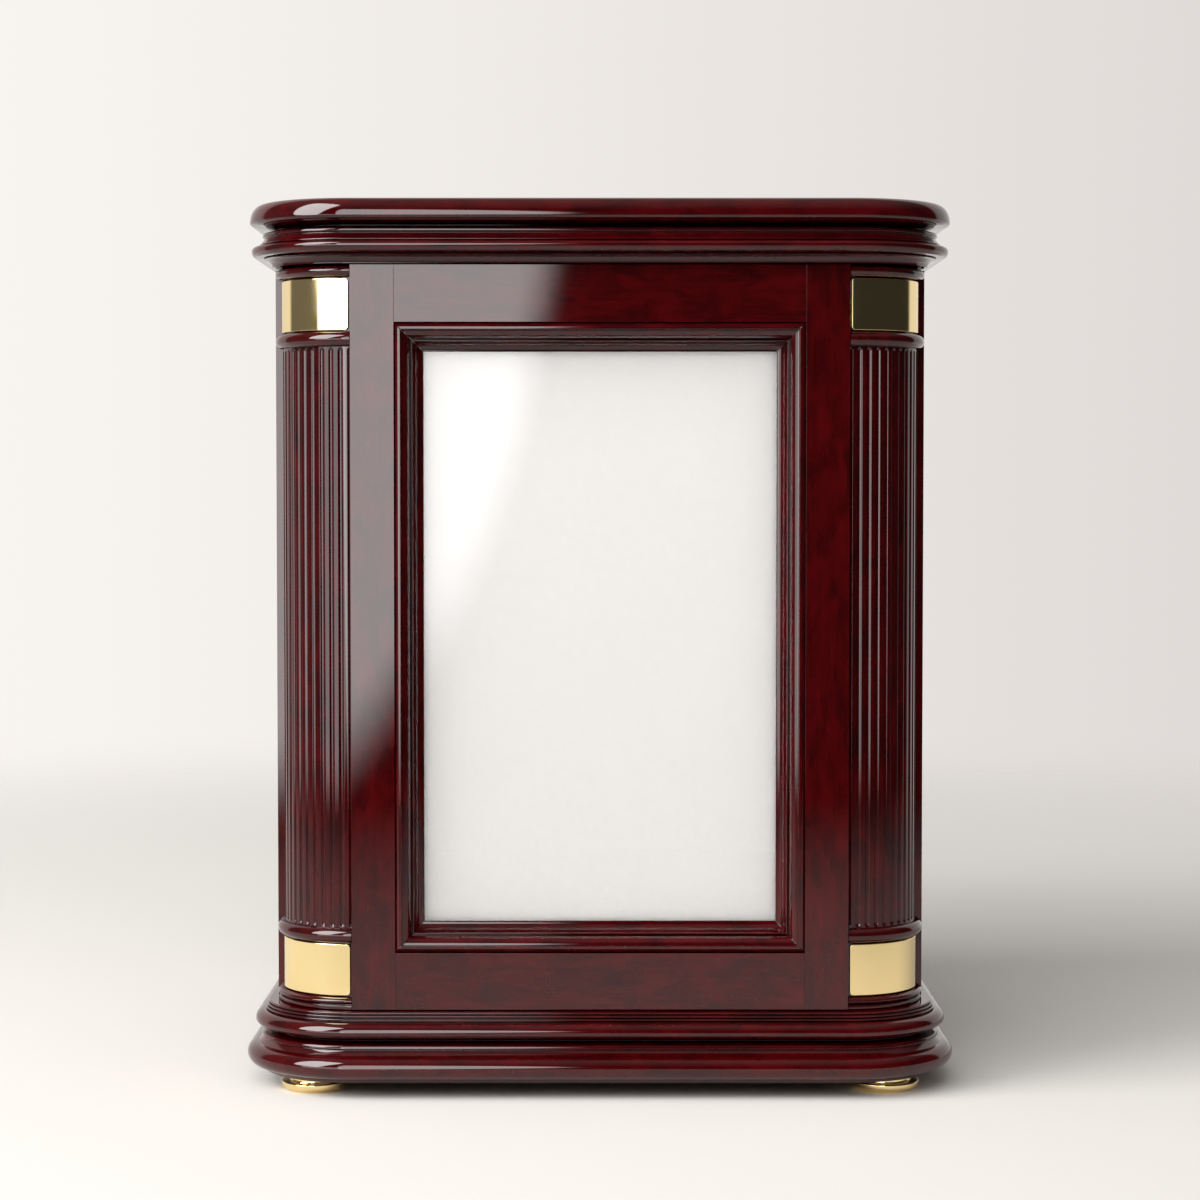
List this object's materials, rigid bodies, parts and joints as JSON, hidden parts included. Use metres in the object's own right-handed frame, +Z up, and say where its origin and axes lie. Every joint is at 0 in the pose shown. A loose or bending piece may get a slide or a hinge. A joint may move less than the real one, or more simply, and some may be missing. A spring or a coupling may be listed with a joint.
{
  "type": "photo cremation urn",
  "caption": "Square wooden cremation urn with fluted quarter columns, brass bands and feet, moulded base and crown, and a glazed picture frame in its front.",
  "frame": {"origin": "on the floor under the centre of the urn, at the soles of its feet", "axes": "+Z up, the glazed front faces -Y, +X to the right seen from the front"},
  "size_m": [0.188, 0.188, 0.2322],
  "materials": {
    "mahogany": "high-gloss red mahogany lacquer",
    "brass": "polished and lacquered",
    "glass": "clear picture glass",
    "card": "blank white satin card",
    "backing": "raw fibreboard"
  },
  "bodies": {
    "root": {"crown": "mahogany", "base_moulding": "mahogany", "bottom_board": "mahogany", "column_front_left": "mahogany", "column_front_right": "mahogany", "column_back_left": "mahogany", "column_back_right": "mahogany", "stile_left": "mahogany", "stile_right": "mahogany", "rail_top": "mahogany", "rail_bottom": "mahogany", "sight_moulding_top": "mahogany", "sight_moulding_bottom": "mahogany", "sight_moulding_left": "mahogany", "sight_moulding_right": "mahogany", "side_panel_left": "mahogany", "side_panel_right": "mahogany", "back_panel": "mahogany", "band_upper_front_left": "brass", "band_upper_front_right": "brass", "band_upper_back_left": "brass", "band_upper_back_right": "brass", "band_lower_front_left": "brass", "band_lower_front_right": "brass", "band_lower_back_left": "brass", "band_lower_back_right": "brass", "foot_front_left": "brass", "foot_front_right": "brass", "foot_back_left": "brass", "foot_back_right": "brass", "picture_glass": "glass", "photo_insert": "card", "backing_board": "backing"}
  },
  "joints": []
}
